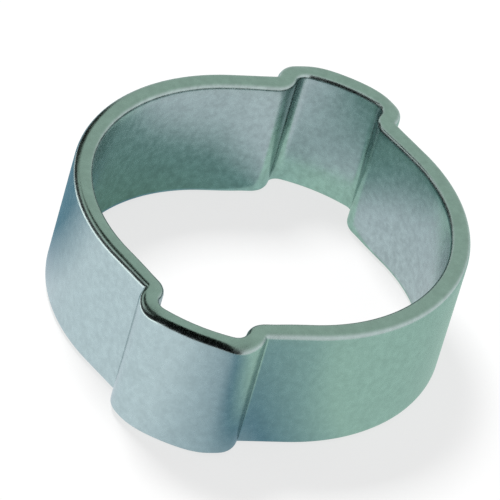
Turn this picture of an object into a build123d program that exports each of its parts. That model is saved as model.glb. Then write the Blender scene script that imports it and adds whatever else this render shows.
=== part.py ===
from build123d import *
from math import asin, cos, degrees, radians, sin
import os

# Two-ear hose clamp: one endless band of plated steel, pressed outward into two opposite ears.
# +Z is the axis of the hose, the ears lie on +X and -X, and the band stands on its lower edge at Z = 0.

# Driving dimensions, in millimetres and degrees
bore_diameter = 23.0        # inside the round stretches, with the ears still open
band_width = 9.0            # along the hose
wall = 1.3                  # thickness of the band, the same all the way round
flat_angle = 32.5           # from the middle of an ear to where the band leaves the round stretch
ear_neck_gap = 5.7          # inside the ear, across its narrow neck
root_bend_radius = 0.25     # outside, in the hollow between flat and leg
ear_leg_lean = 6.0          # each leg leans away from the other, so the ear is wider above its neck
ear_leg_straight = 0.1      # what is left of a leg between its two bends
corner_bend_radius = 0.8    # inside, between leg and top
ear_top_radius = 11.5       # outside of the arched top
outer_edge_radius = 0.35    # the two long outer edges, rounded by tumbling
inner_edge_chamfer = 0.3    # the two long inner edges, broken before the band was formed

# Sizes that follow from them, all on the inside of the band
bore_radius = bore_diameter / 2
inner_root_radius = root_bend_radius + wall
inner_top_radius = ear_top_radius - wall
flat_end_height = ear_neck_gap / 2 + inner_root_radius * (1 - sin(radians(flat_angle)))

os.makedirs("parts", exist_ok=True)

# The space inside the band: one quarter of its outline, from the middle of the round stretch to the
# middle of an ear, runs from each line or bend straight into the next, and is mirrored twice
with BuildSketch() as inside:
    with BuildLine():
        round_stretch = CenterArc((0, 0), bore_radius, 90, flat_angle - 90)
        flat_end_line = Line((0, flat_end_height), (bore_diameter, flat_end_height), mode=Mode.PRIVATE)
        flat = IntersectingLine(round_stretch @ 1, round_stretch % 1, flat_end_line)
        root_bend = JernArc(flat @ 1, flat % 1, inner_root_radius, 90 - flat_angle + ear_leg_lean)
        leg = PolarLine(root_bend @ 1, ear_leg_straight, direction=root_bend % 1)
        corner_center_height = (leg @ 1).Y - corner_bend_radius * cos(radians(ear_leg_lean))
        half_top_angle = degrees(asin(corner_center_height / (inner_top_radius - corner_bend_radius)))
        corner_bend = JernArc(leg @ 1, leg % 1, corner_bend_radius, half_top_angle - 90 - ear_leg_lean)
        JernArc(corner_bend @ 1, corner_bend % 1, inner_top_radius, -half_top_angle)
        mirror(about=Plane.XZ)
        mirror(about=Plane.YZ)
    make_face()

with BuildPart() as clamp_band:
    # The band lies round that space at an even thickness
    with BuildSketch():
        add(inside.sketch)
        offset(amount=wall)
    extrude(amount=band_width)
    fillet(clamp_band.edges().filter_by(Axis.Z, reverse=True), outer_edge_radius)
    add(inside.sketch)
    extrude(amount=band_width, mode=Mode.SUBTRACT)
    chamfer(clamp_band.edges(Select.LAST).filter_by(Axis.Z, reverse=True), inner_edge_chamfer)

clamp_band.part.label = "clamp_band"
export_step(clamp_band.part, "parts/clamp_band.step")
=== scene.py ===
import bpy
import bmesh
from math import asin, atan2, cos, degrees, exp, radians, sin
from mathutils import Matrix, Vector


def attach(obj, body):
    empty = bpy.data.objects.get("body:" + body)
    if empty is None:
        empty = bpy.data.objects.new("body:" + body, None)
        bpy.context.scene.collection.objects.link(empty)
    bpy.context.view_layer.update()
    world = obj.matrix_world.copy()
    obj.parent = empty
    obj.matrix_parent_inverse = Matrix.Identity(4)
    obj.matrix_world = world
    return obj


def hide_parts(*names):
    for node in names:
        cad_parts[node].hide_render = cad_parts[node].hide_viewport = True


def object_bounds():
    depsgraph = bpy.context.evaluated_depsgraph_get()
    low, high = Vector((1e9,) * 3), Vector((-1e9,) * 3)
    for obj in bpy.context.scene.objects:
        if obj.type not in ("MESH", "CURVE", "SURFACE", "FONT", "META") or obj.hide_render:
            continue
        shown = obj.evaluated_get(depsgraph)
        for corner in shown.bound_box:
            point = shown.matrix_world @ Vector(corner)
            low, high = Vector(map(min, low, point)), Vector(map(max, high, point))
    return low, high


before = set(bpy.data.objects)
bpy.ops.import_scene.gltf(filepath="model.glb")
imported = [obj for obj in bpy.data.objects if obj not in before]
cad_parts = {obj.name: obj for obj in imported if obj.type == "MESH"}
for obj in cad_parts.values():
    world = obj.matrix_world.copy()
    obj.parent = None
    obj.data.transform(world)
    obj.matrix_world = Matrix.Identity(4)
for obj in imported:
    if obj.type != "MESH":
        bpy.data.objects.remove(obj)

scene = bpy.context.scene
scene.view_settings.view_transform = 'Standard'
mm = 0.001
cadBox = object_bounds()  # the solid's own box


def hexColour(text):
    parts = [int(text[i:i + 2], 16) / 255 for i in (1, 3, 5)]
    linear = [p / 12.92 if p <= 0.04045 else ((p + 0.055) / 1.055) ** 2.4 for p in parts]
    return (*linear, 1.0)


def addMesh(name, bm):
    mesh = bpy.data.meshes.new(name)
    bm.to_mesh(mesh)
    bm.free()
    piece = bpy.data.objects.new(name, mesh)
    scene.collection.objects.link(piece)
    return piece


def emptyTree(owner):
    owner.use_nodes = True
    owner.node_tree.nodes.clear()
    return owner.node_tree


# settings name the node's own properties or its sockets, and stops are those of a colour ramp
def addNode(tree, kind, settings=None, links=None, stops=()):
    node = tree.nodes.new(kind)
    for key, value in (settings or {}).items():
        if isinstance(key, str) and hasattr(node, key):
            setattr(node, key, value)
        else:
            node.inputs[key].default_value = value
    for key, source in (links or {}).items():
        tree.links.new(source, node.inputs[key])
    if stops:
        elements = node.color_ramp.elements
        while len(elements) < len(stops):
            elements.new(0.5)
        for element, (position, _) in zip(elements, stops):
            element.position = position
        for element, (_, colour) in zip(elements, stops):
            element.color = hexColour(colour)
    return node


# the camera, turned about the middle of the band
cameraLook = {
    "azimuth": -80.56,              # degrees
    "elevation": 37.79,
    "roll": 16.418,
    "distance": 495.1,              # mm, from the middle of the band
    "lens": 565.75,                 # mm
    "shift": (-0.01508, 0.01201),
}


def addCamera(look):
    azimuth, elevation, roll = (radians(look[key]) for key in ("azimuth", "elevation", "roll"))
    back = Vector((sin(azimuth) * cos(elevation), -cos(azimuth) * cos(elevation), sin(elevation)))
    right = Vector((cos(azimuth), sin(azimuth), 0))
    up = back.cross(right)
    rolledRight = cos(roll) * right + sin(roll) * up
    rolledUp = back.cross(rolledRight)
    data = bpy.data.cameras.new("benchCamera")
    data.lens = look["lens"]
    data.shift_x, data.shift_y = look["shift"]
    data.clip_start, data.clip_end = 0.01, 10
    camera = bpy.data.objects.new("benchCamera", data)
    target = (cadBox[0] + cadBox[1]) / 2
    turned = Matrix((rolledRight, rolledUp, back)).transposed().to_4x4()
    camera.matrix_world = Matrix.Translation(target + back * look["distance"] * mm) @ turned
    scene.collection.objects.link(camera)
    scene.camera = camera


addCamera(cameraLook)
print("camera placed")

# the band, in millimetres and degrees, measured on its inside
band = {
    "boreRadius": 11.5,
    "width": 9.0,
    "wall": 1.3,
    "flatAngle": 32.5,              # from the middle of an ear to where the band leaves the round stretch
    "neckGap": 5.7,
    "rootRadius": 1.55,             # the bend from flat to leg
    "legLean": 6.0,
    "legStraight": 0.1,
    "cornerRadius": 0.8,            # the bend from leg to top
    "topRadius": 10.2,
    "outerRounding": 0.45,          # tumbled edges
    "innerRounding": 0.42,
    "roundingSteps": {"outer": 6, "inner": 5},
    "drawIn": {"corner": 0.24, "root": 0.08},    # how far a bend's stretched side narrows at its free edges
    "drawSide": {"corner": 34, "root": 208},     # the way from a bend's centre to that side
    "drawReach": (1.0, 1.5),        # along the band and down from the edge
    "cuts": {"wall": 15, "edge": 2},    # extra points up the wall and across the cut edges
    "steps": {"round": 40, "flat": 5, "root": 10, "leg": 1, "corner": 12, "top": 8},
    "weld": 0.0001,                 # points closer than this are one
}


def buildBand(b):
    # the band's cut section, open as a loop of edges once its corners are rounded
    bm = bmesh.new()
    inner, outer = b["boreRadius"], b["boreRadius"] + b["wall"]
    corners = [bm.verts.new((0, y, z)) for y, z in
               ((inner, 0), (outer, 0), (outer, b["width"]), (inner, b["width"]))]
    bm.faces.new(corners)
    bmesh.ops.bevel(bm, geom=[corners[1], corners[2]], offset=b["outerRounding"], offset_type='OFFSET',
                    affect='VERTICES', segments=b["roundingSteps"]["outer"], profile=0.5, material=-1)
    innerCorners = [v for v in bm.verts if abs(v.co.y - inner) < b["weld"]]
    bmesh.ops.bevel(bm, geom=innerCorners, offset=b["innerRounding"], offset_type='OFFSET',
                    affect='VERTICES', segments=b["roundingSteps"]["inner"], profile=0.5, material=-1)
    bmesh.ops.delete(bm, geom=bm.faces[:], context='FACES_ONLY')
    walls = [e for e in bm.edges if e.calc_length() > b["width"] / 2]
    bmesh.ops.subdivide_edges(bm, edges=walls, cuts=b["cuts"]["wall"])
    cutEdges = [e for e in bm.edges if abs(e.verts[0].co.z - e.verts[1].co.z) < b["weld"]
                and e.calc_length() > b["wall"] / 5]
    bmesh.ops.subdivide_edges(bm, edges=cutEdges, cuts=b["cuts"]["edge"])
    pen = {"spot": Vector((0, inner, 0)), "heading": 0.0, "loop": bm.verts[:] + bm.edges[:]}

    def bend(radius, turn, steps):
        side = 1 if turn > 0 else -1
        across = Vector((-sin(pen["heading"]), cos(pen["heading"]), 0)) * side
        centre = pen["spot"] + across * radius
        made = bmesh.ops.spin(bm, geom=pen["loop"], cent=centre, axis=(0, 0, 1), dvec=(0, 0, 0),
                              angle=turn, steps=steps, use_merge=False, use_duplicate=False)
        pen["loop"] = made["geom_last"]
        pen["spot"] = centre + Matrix.Rotation(turn, 3, 'Z') @ (pen["spot"] - centre)
        pen["heading"] += turn
        return centre

    def straight(length, steps):
        ahead = Vector((cos(pen["heading"]), sin(pen["heading"]), 0))
        for _ in range(steps):
            edges = [g for g in pen["loop"] if isinstance(g, bmesh.types.BMEdge)]
            made = bmesh.ops.extrude_edge_only(bm, edges=edges)["geom"]
            moved = [g for g in made if isinstance(g, bmesh.types.BMVert)]
            bmesh.ops.translate(bm, verts=moved, vec=ahead * length / steps)
            pen["loop"] = [g for g in made if not isinstance(g, bmesh.types.BMFace)]
        pen["spot"] = pen["spot"] + ahead * length

    # one quarter, from the middle of the round stretch to the middle of an ear
    flatAngle, lean, steps = radians(b["flatAngle"]), radians(b["legLean"]), b["steps"]
    bend(b["boreRadius"], flatAngle - radians(90), steps["round"])
    flatEnd = b["neckGap"] / 2 + b["rootRadius"] * (1 - sin(flatAngle))
    straight((pen["spot"].y - flatEnd) / cos(flatAngle), steps["flat"])
    rootCentre = bend(b["rootRadius"], radians(90) - flatAngle + lean, steps["root"])
    straight(b["legStraight"], steps["leg"])
    cornerHeight = pen["spot"].y - b["cornerRadius"] * cos(lean)
    halfTop = asin(cornerHeight / (b["topRadius"] - b["cornerRadius"]))
    cornerCentre = bend(b["cornerRadius"], halfTop - radians(90) - lean, steps["corner"])
    bend(b["topRadius"], -halfTop, steps["top"])

    for axis in ('Y', 'X'):
        bmesh.ops.mirror(bm, geom=bm.verts[:] + bm.edges[:] + bm.faces[:], merge_dist=b["weld"], axis=axis)
        bmesh.ops.remove_doubles(bm, verts=bm.verts[:], dist=b["weld"])
    bmesh.ops.recalc_face_normals(bm, faces=bm.faces[:])

    # bending draws the stretched side in at the free edges
    reach, depth = b["drawReach"]
    for name, centre, near in (("corner", cornerCentre, b["cornerRadius"]),
                               ("root", rootCentre, b["rootRadius"] - b["wall"])):
        towards = radians(b["drawSide"][name])
        stretched = centre + Vector((cos(towards), sin(towards), 0)) * (near + b["wall"])
        for v in bm.verts:
            spot = Vector((abs(v.co.x), abs(v.co.y), 0))
            toEdge = min(v.co.z, b["width"] - v.co.z)
            throughWall = min(max(((spot - centre).length - near) / b["wall"], 0), 1)
            fromBend = (spot - stretched).length / reach
            if toEdge < depth and fromBend < 3:  # further off it is too little to matter
                share = throughWall * (1 - toEdge / depth) ** 2 * exp(-fromBend ** 2)
                v.co.z += b["drawIn"][name] * share * (1 if v.co.z < b["width"] / 2 else -1)

    bmesh.ops.scale(bm, vec=(mm, mm, mm), verts=bm.verts[:])
    for face in bm.faces:
        face.smooth = True
    piece = addMesh("formedBand", bm)
    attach(piece, "root")
    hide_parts("clamp_band")
    return piece


formedBand = buildBand(band)
print("band formed:", len(formedBand.data.polygons), "faces")

# zinc-plated steel, tumbled and blue-passivated: bright soft-edged metal with one even, cool grey-green
# tint, faintly clouded, duller where it was cut and less polished inside, where tumbling reaches least
zincLook = {
    "film": "#AEBFBD",
    "edge": "#7D988C",                 # the cut edges, duller and greener
    "rim": "#EBEDEE",                  # the film seen edge-on
    "blotch": 1.1,                     # mm, clouds in the film
    "mottle": 0.42,                    # mm, patches that tumbling leaves
    "grain": 0.12,                     # mm, the plating's grain, drawn far coarser than it is, so that it shows
    "relief": 0.03,                    # mm, deeper than it is for the same reason
    "cloudsOutside": (0.92, 1.07),     # darkest and lightest share of the tint
    "cloudsInside": (0.84, 1.12),
    "roughness": (0.2, 0.3),
}


def zincPlate(look):
    material = bpy.data.materials.new("bluePassivatedZinc")
    tree = emptyTree(material)
    place = addNode(tree, "ShaderNodeTexCoord")
    facing = addNode(tree, "ShaderNodeSeparateXYZ", {}, {0: place.outputs["Normal"]})

    # one tint on the walls, another on the cut edges
    upright = addNode(tree, "ShaderNodeMath", {"operation": 'ABSOLUTE'}, {0: facing.outputs["Z"]})
    onEdge = addNode(tree, "ShaderNodeMapRange",
                     {"From Min": 0.5, "From Max": 0.95, "interpolation_type": 'SMOOTHSTEP'},
                     {"Value": upright.outputs[0]})
    tint = addNode(tree, "ShaderNodeMix",
                   {"data_type": 'RGBA', 6: hexColour(look["film"]), 7: hexColour(look["edge"])},
                   {0: onEdge.outputs[0]})

    # clouds and mottling, stronger inside
    outward = addNode(tree, "ShaderNodeVectorMath", {"operation": 'DOT_PRODUCT'},
                      {0: place.outputs["Normal"], 1: place.outputs["Object"]})
    isOutside = addNode(tree, "ShaderNodeMapRange",
                        {"From Min": -4 * mm, "From Max": 4 * mm, "interpolation_type": 'SMOOTHSTEP'},
                        {"Value": outward.outputs["Value"]})
    blotch = addNode(tree, "ShaderNodeTexNoise", {"Scale": 1000 / look["blotch"], "Detail": 3.0, "Roughness": 0.6},
                     {0: place.outputs["Object"]})
    mottle = addNode(tree, "ShaderNodeTexNoise", {"Scale": 1000 / look["mottle"], "Detail": 2.5, "Roughness": 0.55},
                     {0: place.outputs["Object"]})
    grain = addNode(tree, "ShaderNodeTexNoise", {"Scale": 1000 / look["grain"], "Detail": 2.0},
                    {0: place.outputs["Object"]})
    cloud = addNode(tree, "ShaderNodeMix", {"data_type": 'FLOAT', 0: 0.68},
                    {2: blotch.outputs["Fac"], 3: mottle.outputs["Fac"]})
    darkest, lightest = (addNode(tree, "ShaderNodeMapRange", {"To Min": inside, "To Max": outside},
                                 {"Value": isOutside.outputs[0]})
                         for inside, outside in zip(look["cloudsInside"], look["cloudsOutside"]))
    shade = addNode(tree, "ShaderNodeMapRange", {"From Min": 0.36, "From Max": 0.64},
                    {"Value": cloud.outputs[0], "To Min": darkest.outputs[0], "To Max": lightest.outputs[0]})
    clouded = addNode(tree, "ShaderNodeVectorMath", {"operation": 'SCALE'},
                      {0: tint.outputs[2], "Scale": shade.outputs[0]})

    smooth, dull = look["roughness"]
    gloss = addNode(tree, "ShaderNodeMapRange", {"From Min": 0.3, "From Max": 0.7, "To Min": smooth, "To Max": dull},
                    {"Value": mottle.outputs["Fac"]})
    relief = addNode(tree, "ShaderNodeMix", {"data_type": 'FLOAT', 0: 0.5},
                     {2: mottle.outputs["Fac"], 3: grain.outputs["Fac"]})
    bump = addNode(tree, "ShaderNodeBump", {"Strength": 0.14, "Distance": look["relief"] * mm},
                   {"Height": relief.outputs[0]})
    shader = addNode(tree, "ShaderNodeBsdfPrincipled", {"Metallic": 1.0, "Specular Tint": hexColour(look["rim"])},
                     {"Normal": bump.outputs["Normal"], "Base Color": clouded.outputs[0],
                      "Roughness": gloss.outputs[0]})
    addNode(tree, "ShaderNodeOutputMaterial", {}, {"Surface": shader.outputs["BSDF"]})
    return material


formedBand.data.materials.append(zincPlate(zincLook))
print("finish applied")

# a white tent with one softbox, and cards and tinted glowing sheets close round the band that only reflections see;
# the sheets paint reflections onto the walls, with painted shade in their darker stretches
studio = {
    "floorSize": 1.6,               # metres
    "floorColour": "#F4F4F4",
    "floorGlow": 0.72,              # how much of the floor's own shade gives way to white
    "worldLevel": 0.35,
    "key": {"azimuth": 50.0, "elevation": 58.0, "distance": 500.0, "size": 150.0, "power": 2.6},   # mm and watts
    "cardRadius": 34.0,             # mm
    # degrees round from +X, degrees up, and how bright: dark cards draw a line along the edges,
    # and a low bright one draws the light line under it
    "cards": [{"from": 46.0, "to": 68.0, "low": 7.0, "high": 40.0, "glow": 0.03},
              {"from": 68.0, "to": 130.0, "low": 13.0, "high": 36.0, "glow": 0.06},
              {"from": 68.0, "to": 130.0, "low": 48.0, "high": 64.0, "glow": 0.05},
              {"from": 130.0, "to": 160.0, "low": 13.0, "high": 82.0, "glow": 0.02},
              {"from": 160.0, "to": 214.0, "low": 7.0, "high": 88.0, "glow": 0.005},
              {"from": 85.0, "to": 160.0, "low": -1.0, "high": 13.0, "glow": 2.0}],
    # two graduated glowing sheets laid on the floor for the walls to reflect, painted reflections with painted shade
    # in their slate and dark green stretches:
    # one round the band, that turns from green to cool white to slate by degrees round from +X, and one inside it,
    # by mm along Y
    "outerPaintedReflection": {"radius": 45.0, "height": 0.02, "glow": 1.2,
                   "stops": [(0, "#BAD4C8"), (60, "#6E94A6"), (90, "#6E94A6"), (116, "#ECF0F8"),
                             (172, "#ECF0F8"), (206, "#7090A0"), (232, "#BAD4C8"), (360, "#BAD4C8")]},
    "innerPaintedReflection": {"radius": 11.4, "height": 0.05, "glow": 0.95,
                   "stops": [(-11.4, "#F6F8FC"), (-1, "#ECF0F8"), (3, "#86A8A6"), (11.4, "#7C9E90")]},
}
white = (1, 1, 1, 1)


# only the camera, reflections and clear pieces see this share of pure white, so it throws no light on the band
def seenDirectly(tree, share):
    rays = addNode(tree, "ShaderNodeLightPath")
    reflected = addNode(tree, "ShaderNodeMath", {"operation": 'MAXIMUM'},
                        {0: rays.outputs["Is Camera Ray"], 1: rays.outputs["Is Glossy Ray"]})
    direct = addNode(tree, "ShaderNodeMath", {"operation": 'MAXIMUM'},
                     {0: reflected.outputs[0], 1: rays.outputs["Is Transmission Ray"]})
    part = addNode(tree, "ShaderNodeMath", {"operation": 'MULTIPLY', 1: share}, {0: direct.outputs[0]})
    return part.outputs[0]


def addFloor(look):
    bm = bmesh.new()
    bmesh.ops.create_circle(bm, cap_ends=True, radius=look["floorSize"] / 2, segments=96)
    floor = addMesh("paperFloor", bm)
    paper = bpy.data.materials.new("whitePaper")
    tree = emptyTree(paper)
    matt = addNode(tree, "ShaderNodeBsdfDiffuse", {"Color": hexColour(look["floorColour"])})
    glow = addNode(tree, "ShaderNodeEmission", {"Color": white, "Strength": 1.0})
    mix = addNode(tree, "ShaderNodeMixShader", {},
                  {0: seenDirectly(tree, look["floorGlow"]), 1: matt.outputs[0], 2: glow.outputs[0]})
    addNode(tree, "ShaderNodeOutputMaterial", {}, {"Surface": mix.outputs[0]})
    floor.data.materials.append(paper)


def addTent(look):
    scene.world = bpy.data.worlds.new("whiteTent")
    tree = emptyTree(scene.world)
    lit = addNode(tree, "ShaderNodeBackground", {"Color": white, "Strength": look["worldLevel"]})
    seen = addNode(tree, "ShaderNodeBackground", {"Color": white, "Strength": 1.0})
    mix = addNode(tree, "ShaderNodeMixShader", {},
                  {0: seenDirectly(tree, 1.0), 1: lit.outputs[0], 2: seen.outputs[0]})
    addNode(tree, "ShaderNodeOutputWorld", {}, {"Surface": mix.outputs[0]})


def addSoftbox(key):
    lamp = bpy.data.lights.new("keySoftbox", 'AREA')
    lamp.shape = 'SQUARE'
    lamp.size = key["size"] * mm
    lamp.energy = key["power"]
    azimuth, elevation = radians(key["azimuth"]), radians(key["elevation"])
    towards = Vector((cos(azimuth) * cos(elevation), sin(azimuth) * cos(elevation), sin(elevation)))
    softbox = bpy.data.objects.new("keySoftbox", lamp)
    turned = towards.to_track_quat('Z', 'Y').to_matrix().to_4x4()
    softbox.matrix_world = Matrix.Translation(towards * key["distance"] * mm) @ turned
    softbox.visible_glossy = False
    scene.collection.objects.link(softbox)


def onlyReflected(sheet, brightness):
    sheet.visible_camera = sheet.visible_diffuse = sheet.visible_shadow = False
    face = bpy.data.materials.new(sheet.name + "Face")
    tree = emptyTree(face)
    glow = addNode(tree, "ShaderNodeEmission", {"Color": white, "Strength": brightness})
    addNode(tree, "ShaderNodeOutputMaterial", {}, {"Surface": glow.outputs["Emission"]})
    sheet.data.materials.append(face)
    return tree, glow


def addCard(radius, look):
    bm = bmesh.new()
    bmesh.ops.create_uvsphere(bm, u_segments=144, v_segments=72, radius=radius * mm)
    spare = []
    for face in bm.faces:
        towards = face.calc_center_median().normalized()
        up = degrees(asin(towards.z))
        around = degrees(atan2(towards.y, towards.x)) % 360
        if not (look["low"] <= up <= look["high"] and look["from"] <= around <= look["to"]):
            spare.append(face)
    bmesh.ops.delete(bm, geom=spare, context='FACES')
    onlyReflected(addMesh("studioCard", bm), look["glow"])


# a glowing sheet that only reflections see: its tint is a painted reflection on the walls, and its darker stretches
# are painted shade
def addPaintedReflection(name, look, turning):
    bm = bmesh.new()
    bmesh.ops.create_circle(bm, cap_ends=True, radius=look["radius"] * mm, segments=96)
    bmesh.ops.translate(bm, vec=(0, 0, look["height"] * mm), verts=bm.verts[:])
    tree, glow = onlyReflected(addMesh(name, bm), look["glow"])
    place = addNode(tree, "ShaderNodeTexCoord")
    spot = addNode(tree, "ShaderNodeSeparateXYZ", {}, {0: place.outputs["Object"]})
    first, last = look["stops"][0][0], look["stops"][-1][0]
    if turning:
        angle = addNode(tree, "ShaderNodeMath", {"operation": 'ARCTAN2'},
                        {0: spot.outputs["Y"], 1: spot.outputs["X"]})
        share = addNode(tree, "ShaderNodeMath", {"operation": 'DIVIDE', 1: radians(360)}, {0: angle.outputs[0]})
        reached = addNode(tree, "ShaderNodeMath", {"operation": 'WRAP', 1: 1.0, 2: 0.0}, {0: share.outputs[0]})
    else:
        reached = addNode(tree, "ShaderNodeMapRange", {"From Min": first * mm, "From Max": last * mm},
                          {"Value": spot.outputs["Y"]})
    stops = [((at - first) / (last - first), colour) for at, colour in look["stops"]]
    tint = addNode(tree, "ShaderNodeValToRGB", {}, {"Fac": reached.outputs[0]}, stops)
    tree.links.new(tint.outputs[0], glow.inputs["Color"])


addFloor(studio)
addTent(studio)
addSoftbox(studio["key"])
for cardLook in studio["cards"]:
    addCard(studio["cardRadius"], cardLook)
addPaintedReflection("outerPaintedReflection", studio["outerPaintedReflection"], turning=True)
addPaintedReflection("innerPaintedReflection", studio["innerPaintedReflection"], turning=False)
print("studio lit")
